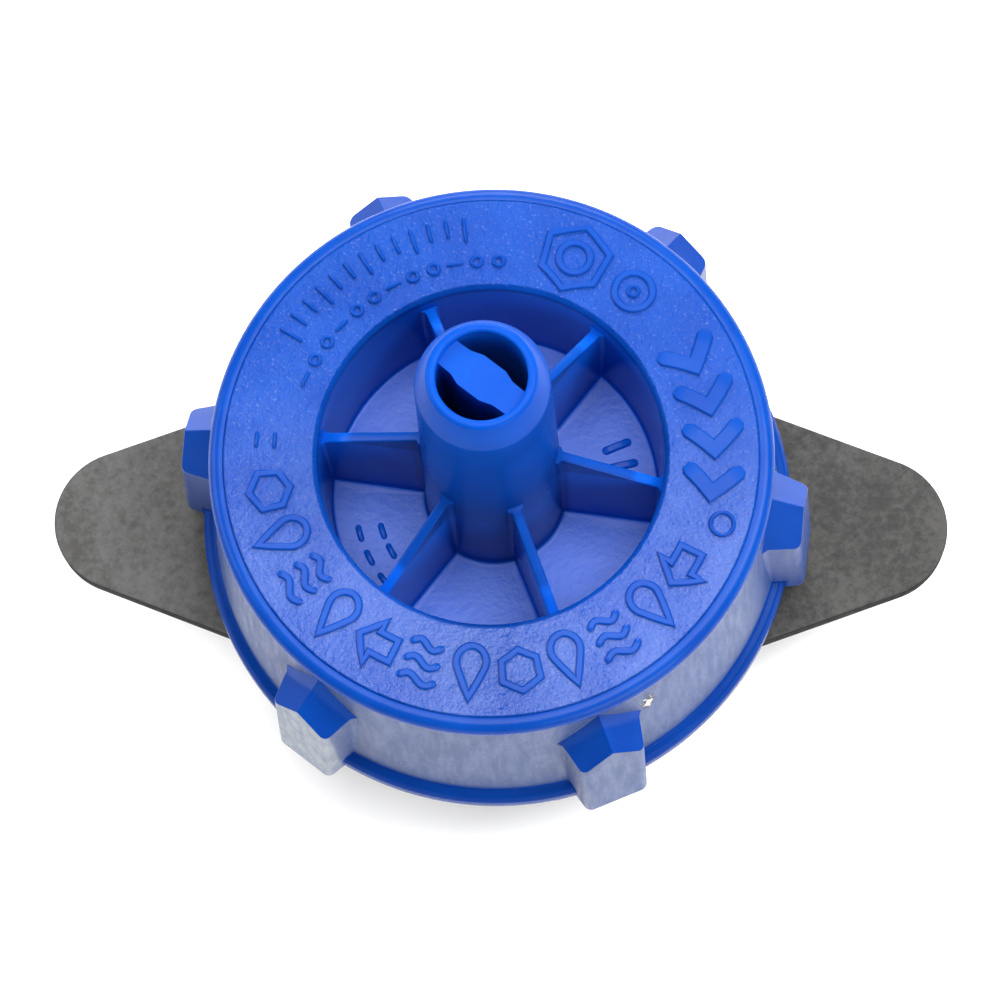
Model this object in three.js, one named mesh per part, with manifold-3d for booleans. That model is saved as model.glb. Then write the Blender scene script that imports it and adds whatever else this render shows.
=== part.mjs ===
// Take-apart online drip emitter. Millimetres, +Z up.
// The origin is on the emitter's axis, in the plane of the base's underside, which seats on the
// lateral pipe. The inlet barb points down, the outlet nozzle points up, the wings lie along X.
import * as THREE from 'three';
import { mergeVertices } from 'three/addons/utils/BufferGeometryUtils.js';
import Module from 'manifold-3d';

const wasm = await Module();
wasm.setup();

const TAU = Math.PI * 2;
const radians = THREE.MathUtils.degToRad;
const ROUND_STEPS = 48; // facets round the axis

// Cap, outside
const RIM_R = 11;
const RIM_Z = 11.55;
const BEAD_INNER_R = 10.4;
const WALL_TOP_R = 10.78;
const WALL_BOTTOM_R = 11.42;
const FLANGE_R = 12.05;
const FLANGE_Z = [2.15, 3.15];

// Cap, inside
const SKIRT_BORE_R = 9.8;
const ROOF_UNDERSIDE_Z = 10.55;
const RECESS_TOP_R = 6.74;
const RECESS_FLOOR_R = 6.6;
const RECESS_FLOOR_Z = 5.45;
const FLOOR_UNDERSIDE_Z = 4.25;
const PLUG_R = 7.6;
const PLUG_BOTTOM_Z = 2.9;
const POCKET_R = 6.35;

// Nozzle, its ribs and the web across its bore
const NOZZLE_BASE_R = 2.78;
const NOZZLE_SHOULDER_R = 2.48;
const NOZZLE_SHOULDER_Z = 20.55;
const NOZZLE_TIP_R = 1.97;
const NOZZLE_TIP_Z = 21.79;
const NOZZLE_BORE_R = 1.67;
const RIB_COUNT = 6;
const RIB_THICKNESS = 0.42;
const RIB_OUTER_Z = 10.6;
const RIB_INNER_Z = 12.65;
const WEB_TOP_Z = 21.4;
const WEB_DEPTH = 4;
const WEB_HALF_WIDTH = 0.5;
const WEB_BULGE = 0.3;

// Six grip lugs, nearly in line with the ribs
const RIB_PHASE = -7.45; // degrees from +X to the first rib
const LUG_PHASE = -6.8;
const LUG_HALF_WIDTH = [1.65, 1.5]; // at the wall, at the outer face
const LUG_OUTER_R = 12.72; // at the bottom
const LUG_RIDGE_Z = 10.1; // at the wall
const LUG_RIDGE_FALL = Math.tan(radians(26)); // of the ridge, away from the wall
const LUG_SLOPE = Math.tan(radians(47)); // of the two roof planes
const LUG_CORNER_R = 0.5;
const LUG_DRAFT = Math.tan(radians(4.5));

// Three-start thread: one full turn lifts the cap clear of the base
const THREAD_STARTS = 3;
const THREAD_LEAD = 9;
const THREAD_ROOT_HALF = 0.5;
const THREAD_CREST_HALF = 0.28;
const THREAD_GAP = 0.3; // axial clearance between mating flanks
const THREAD_SINK = 0.2; // how far a ridge is rooted in its wall
const THREAD_FADE = 15; // degrees of run-out at each end
const THREAD_SWEEP = 95; // degrees of ridge for each start
const BASE_THREAD_CREST_R = 9.5;
const CAP_THREAD_CREST_R = 9.2;
const BASE_THREAD_TOP_Z = 7.5;

// Base
const BASE_R = 11;
const BASE_TOP_Z = 1.8;
const SPIGOT_R = [8.1, 8.9];
const SPIGOT_TOP_Z = 8.7;
const WING_THICKNESS = 0.9;
const WING_TIP_X = 18.65;
const WING_TIP_R = 2.97;
const WING_FLARE = 20.5; // degrees from the wing's own centre line
const BARB_NECK_R = 1.75;
const BARB_HEAD_R = 2.45;
const BARB_LENGTH = 5.6;
const BARB_TIP_R = 1.5;
const INLET_BORE_R = 0.85;
const CORE_POCKETS = 8;
const CORE_POCKET_R = [6, 9.6];
const CORE_POCKET_DEPTH = 0.5;
const CORE_RIB_WIDTH = 1.2;

// Labyrinth disc, sealed under the cap's floor
const DISC_R = 6.1;
const DISC_Z = [2.5, 4.15];
const CHANNEL_DEPTH = 0.7;
const CHANNEL_WIDTH = 0.75;
const CHANNEL_R = [3.2, 4.9];
const CHANNEL_TURNS = 28;
const CHANNEL_STEP = 11; // degrees between the turns of the zigzag
const POCKET_CENTRE_R = 1.9;
const KEY_R = 5.5; // where the keying pegs stand
const KEY_PEG_R = 0.45;
const KEY_NOTCH_R = 0.75;

// Strainer in the inlet, and the seal ring in the plug's groove
const STRAINER_SEAT_R = 2.6;
const STRAINER_SEAT_Z = 0.9;
const STRAINER_R = 2.45;
const STRAINER_Z = [0.95, 1.7];
const STRAINER_HOLE_R = 0.27;
const GROOVE_Z = [4.35, 5.4];
const GROOVE_R = 6.95;
const SEAL_R = 7.47;
const SEAL_SECTION_R = 0.46;

// A closed geometry as a solid that can be joined and cut.
function solid(geometry) {
  const bare = geometry.clone();
  bare.deleteAttribute('normal');
  bare.deleteAttribute('uv');
  const merged = mergeVertices(bare, 1e-4);
  const corners = merged.index.array;
  const triVerts = [];
  for (let i = 0; i < corners.length; i += 3) {
    const [a, b, c] = corners.slice(i, i + 3);
    if (a !== b && b !== c && c !== a) triVerts.push(a, b, c);
  }
  return new wasm.Manifold(new wasm.Mesh({
    numProp: 3,
    vertProperties: Float32Array.from(merged.attributes.position.array),
    triVerts: Uint32Array.from(triVerts),
  }));
}

function join(base, pieces) {
  return pieces.reduce((whole, piece) => whole.add(piece), base);
}

function cut(base, pieces) {
  return pieces.reduce((whole, piece) => whole.subtract(piece), base);
}

function meshOf(name, body, color, roughness) {
  const { vertProperties, triVerts } = body.getMesh();
  const geometry = new THREE.BufferGeometry();
  geometry.setAttribute('position', new THREE.BufferAttribute(vertProperties, 3));
  geometry.setIndex(new THREE.BufferAttribute(triVerts, 1));
  geometry.computeVertexNormals();
  const material = new THREE.MeshStandardMaterial({ color, roughness, metalness: 0 });
  const mesh = new THREE.Mesh(geometry, material);
  mesh.name = name;
  return mesh;
}

// Revolves a closed [radius, height] outline about Z.
function revolve(outline, steps = ROUND_STEPS) {
  const points = [...outline, outline[0]].map(([r, z]) => new THREE.Vector2(r, z));
  return solid(new THREE.LatheGeometry(points, steps).rotateX(Math.PI / 2));
}

// Raises a flat shape from one height to another.
function raise(shape, bottom, top, curveSegments = 6) {
  const options = { depth: top - bottom, bevelEnabled: false, curveSegments };
  return new THREE.ExtrudeGeometry(shape, options).translate(0, 0, bottom);
}

function post(radius, x, y, bottom, top, sides = 12) {
  const geometry = new THREE.CylinderGeometry(radius, radius, top - bottom, sides);
  return solid(geometry.rotateX(Math.PI / 2).translate(x, y, (top + bottom) / 2));
}

function arc(centreR, centreZ, radius, fromDegrees, toDegrees, steps) {
  return Array.from({ length: steps + 1 }, (_, i) => {
    const angle = radians(fromDegrees + ((toDegrees - fromDegrees) * i) / steps);
    return [centreR + radius * Math.cos(angle), centreZ + radius * Math.sin(angle)];
  });
}

function polar(radius, degrees) {
  return [radius * Math.cos(radians(degrees)), radius * Math.sin(radians(degrees))];
}

// The same piece repeated round the axis.
function around(count, firstDegrees, make) {
  return Array.from({ length: count }, (_, i) => make(firstDegrees + (360 / count) * i, i));
}

function capOutline() {
  const [flangeBottom, flangeTop] = FLANGE_Z;
  const [grooveBottom, grooveTop] = GROOVE_Z;
  return [
    [NOZZLE_BORE_R, FLOOR_UNDERSIDE_Z],
    [POCKET_R, FLOOR_UNDERSIDE_Z],
    [POCKET_R, PLUG_BOTTOM_Z],
    [PLUG_R - 0.25, PLUG_BOTTOM_Z],
    [PLUG_R, PLUG_BOTTOM_Z + 0.25],
    [PLUG_R, grooveBottom],
    [GROOVE_R, grooveBottom],
    [GROOVE_R, grooveTop],
    [PLUG_R, grooveTop],
    [PLUG_R, ROOF_UNDERSIDE_Z],
    [SKIRT_BORE_R, ROOF_UNDERSIDE_Z],
    [SKIRT_BORE_R, flangeBottom + 0.4],
    [SKIRT_BORE_R + 0.4, flangeBottom],
    [FLANGE_R - 0.15, flangeBottom],
    [FLANGE_R, flangeBottom + 0.15],
    [FLANGE_R, flangeTop - 0.15],
    [FLANGE_R - 0.15, flangeTop],
    ...arc(WALL_BOTTOM_R + 0.4, flangeTop + 0.4, 0.4, 270, 180, 3),
    [WALL_TOP_R, RIM_Z - 1],
    [RIM_R - 0.08, RIM_Z - 0.86],
    ...arc(RIM_R - 0.5, RIM_Z - 0.58, 0.5, 0, 90, 4),
    [BEAD_INNER_R, RIM_Z - 0.1],
    [BEAD_INNER_R - 0.1, RIM_Z],
    [RECESS_TOP_R + 0.15, RIM_Z],
    [RECESS_TOP_R, RIM_Z - 0.15],
    [RECESS_FLOOR_R, RECESS_FLOOR_Z],
    [NOZZLE_BASE_R + 0.15, RECESS_FLOOR_Z],
    [NOZZLE_BASE_R, RECESS_FLOOR_Z + 0.15],
    [NOZZLE_SHOULDER_R, NOZZLE_SHOULDER_Z],
    [NOZZLE_TIP_R + 0.12, NOZZLE_TIP_Z - 0.15],
    [NOZZLE_TIP_R, NOZZLE_TIP_Z],
    [NOZZLE_BORE_R, NOZZLE_TIP_Z],
  ];
}

// A thin radial plate whose top edge climbs from the recess wall to the nozzle.
function nozzleRib(degrees) {
  const outerR = (RECESS_TOP_R + PLUG_R) / 2;
  const innerR = (NOZZLE_BORE_R + NOZZLE_BASE_R) / 2;
  const slope = (RIB_INNER_Z - RIB_OUTER_Z) / (RECESS_TOP_R - NOZZLE_BASE_R);
  const side = new THREE.Shape([
    new THREE.Vector2(innerR, RECESS_FLOOR_Z - 0.3),
    new THREE.Vector2(outerR, RECESS_FLOOR_Z - 0.3),
    new THREE.Vector2(outerR, RIB_OUTER_Z - slope * (outerR - RECESS_TOP_R)),
    new THREE.Vector2(innerR, RIB_INNER_Z + slope * (NOZZLE_BASE_R - innerR)),
  ]);
  const plate = raise(side, -RIB_THICKNESS / 2, RIB_THICKNESS / 2);
  return solid(plate.rotateX(Math.PI / 2).rotateZ(radians(degrees)));
}

// A block on the wall: a gabled top that falls outwards, rounded corners and a drafted outer face.
function gripLug(degrees) {
  const [innerHalf, outerHalf] = LUG_HALF_WIDTH;
  const innerR = (SKIRT_BORE_R + WALL_TOP_R) / 2;
  const bottom = FLANGE_Z[0];
  const plan = new THREE.Shape();
  plan.moveTo(innerR, -innerHalf);
  plan.lineTo(LUG_OUTER_R - LUG_CORNER_R, -outerHalf);
  plan.absarc(LUG_OUTER_R - LUG_CORNER_R, LUG_CORNER_R - outerHalf, LUG_CORNER_R, -Math.PI / 2, 0);
  plan.absarc(LUG_OUTER_R - LUG_CORNER_R, outerHalf - LUG_CORNER_R, LUG_CORNER_R, 0, Math.PI / 2);
  plan.lineTo(innerR, innerHalf);
  const block = raise(plan, bottom, LUG_RIDGE_Z + 1, 3);
  const places = block.attributes.position;
  for (let i = 0; i < places.count; i += 1) {
    if (places.getX(i) > WALL_BOTTOM_R) {
      places.setX(i, places.getX(i) - LUG_DRAFT * (places.getZ(i) - bottom));
    }
  }
  const gableHalf = innerHalf + 0.5;
  const gable = new THREE.Shape([
    new THREE.Vector2(-gableHalf, bottom),
    new THREE.Vector2(gableHalf, bottom),
    new THREE.Vector2(gableHalf, LUG_RIDGE_Z - gableHalf * LUG_SLOPE),
    new THREE.Vector2(0, LUG_RIDGE_Z),
    new THREE.Vector2(-gableHalf, LUG_RIDGE_Z - gableHalf * LUG_SLOPE),
  ]);
  const roof = raise(gable, innerR - 1, LUG_OUTER_R + 1).rotateX(Math.PI / 2).rotateZ(Math.PI / 2);
  const corners = roof.attributes.position;
  for (let i = 0; i < corners.count; i += 1) {
    const fall = LUG_RIDGE_FALL * (corners.getX(i) - WALL_TOP_R);
    if (corners.getZ(i) > bottom + 0.1) corners.setZ(i, corners.getZ(i) - fall);
  }
  return solid(block).intersect(solid(roof)).rotate([0, 0, degrees]);
}

// A ridge of trapezoid section wound down from its top end; both ends run out into the wall.
function threadRidge(wallR, crestR, topZ, degrees) {
  const outward = Math.sign(crestR - wallR);
  const root = wallR - outward * THREAD_SINK;
  const section = new THREE.Shape([
    new THREE.Vector2(root, -THREAD_ROOT_HALF),
    new THREE.Vector2(crestR, -THREAD_CREST_HALF),
    new THREE.Vector2(crestR, THREAD_CREST_HALF),
    new THREE.Vector2(root, THREAD_ROOT_HALF),
  ]);
  const options = { depth: THREAD_SWEEP, steps: 14, bevelEnabled: false };
  const bar = new THREE.ExtrudeGeometry(section, options);
  const places = bar.attributes.position;
  for (let i = 0; i < places.count; i += 1) {
    const along = places.getZ(i);
    const height = Math.min(1, along / THREAD_FADE, (THREAD_SWEEP - along) / THREAD_FADE);
    const faded = root + (places.getX(i) - root) * (0.2 + 0.8 * height);
    const [x, y] = polar(faded, degrees - along);
    places.setXYZ(i, x, y, topZ + places.getY(i) - (THREAD_LEAD * along) / 360);
  }
  return solid(bar);
}

// The flat bar across the nozzle's bore: narrow shoulders and a fuller middle.
function nozzleWeb(degrees) {
  const end = (NOZZLE_BORE_R + NOZZLE_TIP_R) / 2;
  const full = WEB_HALF_WIDTH + WEB_BULGE;
  const half = [[end, WEB_HALF_WIDTH], [0.8, WEB_HALF_WIDTH], [0.4, full], [-0.4, full],
    [-0.8, WEB_HALF_WIDTH], [-end, WEB_HALF_WIDTH]];
  const other = half.map(([x, y]) => [-x, -y]);
  const plan = new THREE.Shape([...half, ...other].map(([x, y]) => new THREE.Vector2(x, y)));
  return solid(raise(plan, WEB_TOP_Z - WEB_DEPTH, WEB_TOP_Z).rotateZ(radians(degrees)));
}

function cap() {
  const topZ = BASE_THREAD_TOP_Z - 2 * THREAD_ROOT_HALF - THREAD_GAP;
  const thread = (degrees) => threadRidge(SKIRT_BORE_R, CAP_THREAD_CREST_R, topZ, degrees);
  return join(revolve(capOutline()), [
    ...around(RIB_COUNT, RIB_PHASE, nozzleRib),
    ...around(RIB_COUNT, LUG_PHASE, gripLug),
    ...around(THREAD_STARTS, 90, thread),
    nozzleWeb(RIB_PHASE - 30),
  ]);
}

function baseOutline() {
  const [spigotInner, spigotOuter] = SPIGOT_R;
  return [
    [INLET_BORE_R, -BARB_LENGTH],
    [BARB_TIP_R, -BARB_LENGTH],
    [BARB_TIP_R + 0.2, 0.3 - BARB_LENGTH],
    [BARB_HEAD_R, -2.1],
    [BARB_HEAD_R, -1.8],
    [BARB_NECK_R, -1.65],
    [BARB_NECK_R, 0],
    [BASE_R - 0.2, 0],
    [BASE_R, 0.2],
    [BASE_R, BASE_TOP_Z - 0.2],
    [BASE_R - 0.2, BASE_TOP_Z],
    [spigotOuter + 0.2, BASE_TOP_Z],
    [spigotOuter, BASE_TOP_Z + 0.2],
    [spigotOuter, SPIGOT_TOP_Z - 0.3],
    [spigotOuter - 0.2, SPIGOT_TOP_Z],
    [spigotInner + 0.3, SPIGOT_TOP_Z],
    [spigotInner, SPIGOT_TOP_Z - 0.4],
    [spigotInner, BASE_TOP_Z],
    [STRAINER_SEAT_R, BASE_TOP_Z],
    [STRAINER_SEAT_R, STRAINER_SEAT_Z],
    [INLET_BORE_R + 0.7, STRAINER_SEAT_Z],
    [INLET_BORE_R, 0],
  ];
}

// A flat wing: a round tip, and two straight edges that flare towards the disc.
function wing(degrees) {
  const flare = radians(WING_FLARE);
  const centreX = WING_TIP_X - WING_TIP_R;
  const touchX = centreX + WING_TIP_R * Math.sin(flare);
  const touchY = WING_TIP_R * Math.cos(flare);
  const rootX = BASE_R * 0.7;
  const rootY = touchY + (touchX - rootX) * Math.tan(flare);
  const plan = new THREE.Shape();
  plan.moveTo(rootX, -rootY);
  plan.lineTo(touchX, -touchY);
  plan.absarc(centreX, 0, WING_TIP_R, flare - Math.PI / 2, Math.PI / 2 - flare);
  plan.lineTo(rootX, rootY);
  return solid(raise(plan, 0, WING_THICKNESS, 16).rotateZ(radians(degrees)));
}

// A shallow pocket in the underside, between two radial ribs.
function corePocket(degrees) {
  const [inner, outer] = CORE_POCKET_R;
  const halfPitch = Math.PI / CORE_POCKETS;
  const innerHalf = halfPitch - CORE_RIB_WIDTH / 2 / inner;
  const outerHalf = halfPitch - CORE_RIB_WIDTH / 2 / outer;
  const plan = new THREE.Shape();
  plan.absarc(0, 0, outer, -outerHalf, outerHalf);
  plan.absarc(0, 0, inner, innerHalf, -innerHalf, true);
  return solid(raise(plan, -1, CORE_POCKET_DEPTH, 5).rotateZ(radians(degrees)));
}

function keyPeg(degrees) {
  const [x, y] = polar(KEY_R, degrees);
  return post(KEY_PEG_R, x, y, BASE_TOP_Z - 0.3, DISC_Z[1] - 0.5);
}

function discRest(degrees) {
  const [x, y] = polar(CHANNEL_R[1], degrees);
  return post(KEY_PEG_R, x, y, BASE_TOP_Z - 0.3, DISC_Z[0] - 0.1, 8);
}

function baseBody() {
  const thread = (degrees) => threadRidge(SPIGOT_R[1], BASE_THREAD_CREST_R, BASE_THREAD_TOP_Z, degrees);
  const whole = join(revolve(baseOutline()), [
    ...around(2, 0, wing),
    ...around(THREAD_STARTS, 90, thread),
    ...around(2, 90, keyPeg),
    ...around(4, 45, discRest),
  ]);
  return cut(whole, around(CORE_POCKETS, 180 / CORE_POCKETS, corePocket));
}

// One straight stretch of channel between two points of the zigzag.
function channelRun([fromX, fromY], [toX, toY]) {
  const length = Math.hypot(toX - fromX, toY - fromY) + CHANNEL_WIDTH;
  const groove = new THREE.BoxGeometry(length, CHANNEL_WIDTH, CHANNEL_DEPTH * 2);
  groove.rotateZ(Math.atan2(toY - fromY, toX - fromX));
  return solid(groove.translate((fromX + toX) / 2, (fromY + toY) / 2, DISC_Z[1]));
}

function labyrinthDisc() {
  const [bottom, top] = DISC_Z;
  const [channelInner, channelOuter] = CHANNEL_R;
  const firstDegrees = 120;
  const stops = Array.from({ length: CHANNEL_TURNS }, (_, i) => (
    polar(i % 2 ? channelInner : channelOuter, firstDegrees + CHANNEL_STEP * i)
  ));
  const lastDegrees = firstDegrees + CHANNEL_STEP * (CHANNEL_TURNS - 1);
  const route = [polar(DISC_R - 0.2, firstDegrees), ...stops, polar(POCKET_CENTRE_R, lastDegrees)];
  const [portX, portY] = polar(DISC_R, firstDegrees);
  const notches = around(2, 90, (degrees) => {
    const [x, y] = polar(KEY_R, degrees);
    const [edgeX, edgeY] = polar(DISC_R, degrees);
    const open = post(KEY_NOTCH_R, edgeX, edgeY, bottom - 1, top + 1);
    return post(KEY_NOTCH_R, x, y, bottom - 1, top + 1).add(open);
  });
  const disc = revolve([[0, bottom], [DISC_R - 0.15, bottom], [DISC_R, bottom + 0.15],
    [DISC_R, top], [0, top]]);
  return cut(disc, [
    ...route.slice(1).map((stop, i) => channelRun(route[i], stop)),
    post(POCKET_CENTRE_R, 0, 0, top - CHANNEL_DEPTH, top + 1, 24),
    post(KEY_NOTCH_R, portX, portY, bottom - 1, top + 1),
    ...notches,
  ]);
}

function inletStrainer() {
  const [bottom, top] = STRAINER_Z;
  const rimR = STRAINER_R - 0.5;
  const dish = revolve([[0, bottom + 0.3], [rimR, bottom + 0.3], [rimR, bottom],
    [STRAINER_R, bottom], [STRAINER_R, top], [0, top]], 32);
  const hole = (radius) => (degrees) => {
    const [x, y] = polar(radius, degrees);
    return post(STRAINER_HOLE_R, x, y, bottom - 1, top + 1, 8);
  };
  return cut(dish, [hole(0)(0), ...around(6, 0, hole(0.75)), ...around(9, 20, hole(1.5))]);
}

function sealRing() {
  const ring = new THREE.TorusGeometry(SEAL_R, SEAL_SECTION_R, 10, ROUND_STEPS);
  return solid(ring.translate(0, 0, (GROOVE_Z[0] + GROOVE_Z[1]) / 2));
}

const emitter = new THREE.Group();
emitter.add(meshOf('cap', cap(), 0x2f5fe0, 0.4));
emitter.add(meshOf('base_body', baseBody(), 0x33332f, 0.6));
emitter.add(meshOf('labyrinth_disc', labyrinthDisc(), 0x4a4a48, 0.5));
emitter.add(meshOf('inlet_strainer', inletStrainer(), 0xd8d8d0, 0.5));
emitter.add(meshOf('seal_ring', sealRing(), 0x1c1c1c, 0.8));

export default emitter;
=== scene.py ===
import math

import bmesh
import bpy
from mathutils import Matrix, Vector


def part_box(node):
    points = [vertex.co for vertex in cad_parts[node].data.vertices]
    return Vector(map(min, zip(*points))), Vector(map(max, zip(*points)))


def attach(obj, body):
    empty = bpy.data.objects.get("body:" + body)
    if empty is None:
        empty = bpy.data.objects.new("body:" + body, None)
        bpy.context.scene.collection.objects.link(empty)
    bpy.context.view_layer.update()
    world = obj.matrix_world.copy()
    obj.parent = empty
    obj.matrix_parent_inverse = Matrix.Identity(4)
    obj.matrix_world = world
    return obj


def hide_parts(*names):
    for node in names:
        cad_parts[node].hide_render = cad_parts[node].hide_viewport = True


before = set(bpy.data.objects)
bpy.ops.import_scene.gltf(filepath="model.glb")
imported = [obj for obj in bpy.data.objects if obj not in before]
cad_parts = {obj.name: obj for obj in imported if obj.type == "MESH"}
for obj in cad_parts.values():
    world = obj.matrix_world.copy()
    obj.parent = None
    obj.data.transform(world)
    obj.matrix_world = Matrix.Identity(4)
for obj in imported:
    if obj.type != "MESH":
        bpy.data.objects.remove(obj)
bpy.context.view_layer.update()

# Shapes are made in millimetres, in the frame's own axes, and scaled to metres when they are finished.
MM = 0.001

CAP_LOW, CAP_HIGH = (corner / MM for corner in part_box("cap"))
BASE_LOW, BASE_HIGH = (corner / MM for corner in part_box("base_body"))
DISC_LOW, DISC_HIGH = (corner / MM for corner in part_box("labyrinth_disc"))
STRAINER_LOW, STRAINER_HIGH = (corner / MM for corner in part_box("inlet_strainer"))
SEAL_LOW, SEAL_HIGH = (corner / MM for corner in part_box("seal_ring"))

# Cap: heights from the frame, radii and thicknesses of the moulding
TIP_Z = CAP_HIGH.z
FLANGE_BOTTOM_Z = CAP_LOW.z
RIM_Z = TIP_Z - 10.24
RIM_R = 11.0
FLANGE_TOP_Z = FLANGE_BOTTOM_Z + 1.0
FLANGE_R = 12.12
WALL_BOTTOM_R = 11.6
WALL_TOP_R = 10.78
SKIRT_BORE_R = 9.8
ROOF_UNDERSIDE_Z = RIM_Z - 1.0
RECESS_TOP_R = 6.74
RECESS_FLOOR_R = 6.6
FLOOR_Z = RIM_Z - 6.1
FLOOR_UNDERSIDE_Z = FLOOR_Z - 1.2
PLUG_R = 7.6
PLUG_BOTTOM_Z = RIM_Z - 8.65
POCKET_R = 6.35
GROOVE_R = 6.95
GROOVE_Z = (SEAL_LOW.z - 0.06, SEAL_HIGH.z + 0.06)
NOZZLE_BASE_R = 2.8
NOZZLE_SHOULDER_R = 2.48
NOZZLE_SHOULDER_Z = TIP_Z - 1.24
NOZZLE_TIP_R = 1.99
NOZZLE_BORE_R = 1.67
BEAD_R = 0.46  # of the rolled edge round the face
BEAD_INNER_R = 10.42
RIB_COUNT = 6  # and as many lugs
RIB_PHASE = -7.45  # degrees from +X to the first rib
LUG_PHASE = -6.8
CHIP_PLACE = (6.22, -9.18, RIM_Z - 2.8)  # a tall nick in the wall beside the front right lug

# Base
BASE_R = 11.0
BASE_TOP_Z = 1.8
SPIGOT_R = (8.1, 8.9)
WING_TOP_Z = 0.9
WING_TIP_R = 3.0
WING_ROOT_X = 7.0
WING_FLARE = math.radians(20.5)
BARB_TIP_Z = BASE_LOW.z
BARB_TIP_R = 1.5
BARB_HEAD_R = 2.45
BARB_NECK_R = 1.75
INLET_BORE_R = 0.85
STRAINER_SEAT_R = 2.6
CORE_POCKETS = 8
CORE_POCKET_R = (6.0, 9.6)
CORE_POCKET_DEPTH = 0.5

# Thread shared by the cap and the base
THREAD_STARTS = 3
THREAD_LEAD = 9.0
THREAD_TOP_Z = 7.5
THREAD_SWEEP = 95.0  # degrees of ridge for each start
THREAD_FADE = 15.0  # degrees of run-out at each end
BASE_THREAD_CREST_R = 9.5
CAP_THREAD_CREST_R = 9.2
CAP_THREAD_DROP = 1.3  # of the cap's ridges below the base's

# Labyrinth disc, and the pegs of the base that key it and carry it
CHANNEL_R = (4.9, 3.2)  # the zigzag's outer and inner turns
CHANNEL_DEPTH = 0.7
CHANNEL_WIDTH = 0.75
CHANNEL_TURNS = 28
CHANNEL_START = 120  # degrees
CHANNEL_STEP = 11
CENTRE_POCKET_R = 1.9
KEY_R = 5.5
KEY_PEG_R = 0.45
KEY_NOTCH_R = 0.75

# Strainer
STRAINER_HOLE_R = 0.27


# ---------------------------------------------------------------- outlines

def rounded(points, step=15.0):
    """A closed outline of (a, b, radius) corners, each rounded by an arc of its own radius."""
    out = []
    count = len(points)
    for i, (a, b, radius) in enumerate(points):
        corner = Vector((a, b))
        before = Vector(points[i - 1][:2]) - corner
        after = Vector(points[(i + 1) % count][:2]) - corner
        room = 0.48 * min(before.length, after.length)
        angle = before.angle(after)
        if radius <= 0 or angle > math.radians(178):
            out.append((a, b))
            continue
        reach = min(radius / math.tan(angle / 2), room)
        radius = reach * math.tan(angle / 2)
        start, end = before.normalized() * reach, after.normalized() * reach
        middle = (start + end).normalized() * (radius / math.sin(angle / 2))
        turns = max(1, math.ceil(math.degrees(math.pi - angle) / step))
        first, last = start - middle, end - middle
        sweep = first.angle_signed(last)
        for k in range(turns + 1):
            arm = first.copy()
            arm.rotate(Matrix.Rotation(-sweep * k / turns, 2))
            out.append(tuple(corner + middle + arm))
    return out


def polar(radius, degrees):
    """The place at a distance from the axis and an angle from +X."""
    return radius * math.cos(math.radians(degrees)), radius * math.sin(math.radians(degrees))


def arc(centre, radius, start, end, steps):
    """Points along an arc, from one angle in degrees to another."""
    return [(centre[0] + radius * math.cos(math.radians(start + (end - start) * k / steps)),
             centre[1] + radius * math.sin(math.radians(start + (end - start) * k / steps)))
            for k in range(steps + 1)]


# ---------------------------------------------------------------- solids

def new_object(name, verts, faces):
    """A mesh object with its doubled points merged and its faces turned outwards."""
    mesh = bpy.data.meshes.new(name)
    mesh.from_pydata([tuple(v) for v in verts], [], faces)
    bm = bmesh.new()
    bm.from_mesh(mesh)
    bmesh.ops.remove_doubles(bm, verts=bm.verts, dist=1e-5)
    bmesh.ops.recalc_face_normals(bm, faces=bm.faces)
    bm.to_mesh(mesh)
    bm.free()
    obj = bpy.data.objects.new(name, mesh)
    bpy.context.scene.collection.objects.link(obj)
    return obj


def revolve(name, outline, steps=192):
    """Turns a closed (radius, height) outline about Z; points on the axis merge into one."""
    count = len(outline)
    verts = [(r * math.cos(a), r * math.sin(a), z)
             for a in (math.tau * k / steps for k in range(steps)) for r, z in outline]
    faces = [(k * count + i, ((k + 1) % steps) * count + i,
              ((k + 1) % steps) * count + (i + 1) % count, k * count + (i + 1) % count)
             for k in range(steps) for i in range(count)]
    return new_object(name, verts, faces)


def stack(name, rings):
    """Closed solid through rings of equally many points, with a flat cap on both ends."""
    count = len(rings[0])
    verts = [v for ring in rings for v in ring]
    faces = [(j * count + i, j * count + (i + 1) % count,
              (j + 1) * count + (i + 1) % count, (j + 1) * count + i)
             for j in range(len(rings) - 1) for i in range(count)]
    last = (len(rings) - 1) * count
    faces += [tuple(range(count)), tuple(range(last, last + count))]
    return new_object(name, verts, faces)


def prism(name, outline, bottom, top):
    """A flat outline raised from one height to another."""
    return stack(name, [[(x, y, z) for x, y in outline] for z in (bottom, top)])


def post(name, radius, centre, bottom, top, edge=0.1, steps=32):
    """A round peg or hole with softened ends."""
    levels = [(bottom, radius), (top - edge, radius), (top - 0.3 * edge, radius - 0.3 * edge),
              (top, radius - edge)]
    ring = [(math.cos(math.tau * k / steps), math.sin(math.tau * k / steps)) for k in range(steps)]
    return stack(name, [[(centre[0] + r * c, centre[1] + r * s, z) for c, s in ring] for z, r in levels])


def turned(obj, degrees):
    obj.data.transform(Matrix.Rotation(math.radians(degrees), 4, "Z"))
    return obj


def joined(name, objects):
    """One object of several separate shells."""
    bm = bmesh.new()
    for obj in objects:
        bm.from_mesh(obj.data)
        bpy.data.objects.remove(obj)
    mesh = bpy.data.meshes.new(name)
    bm.to_mesh(mesh)
    bm.free()
    whole = bpy.data.objects.new(name, mesh)
    bpy.context.scene.collection.objects.link(whole)
    return whole


def around(name, count, first, make):
    """Copies of a piece round the axis, the first at an angle of its own."""
    return joined(name, [turned(make(), first + 360.0 / count * k) for k in range(count)])


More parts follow.
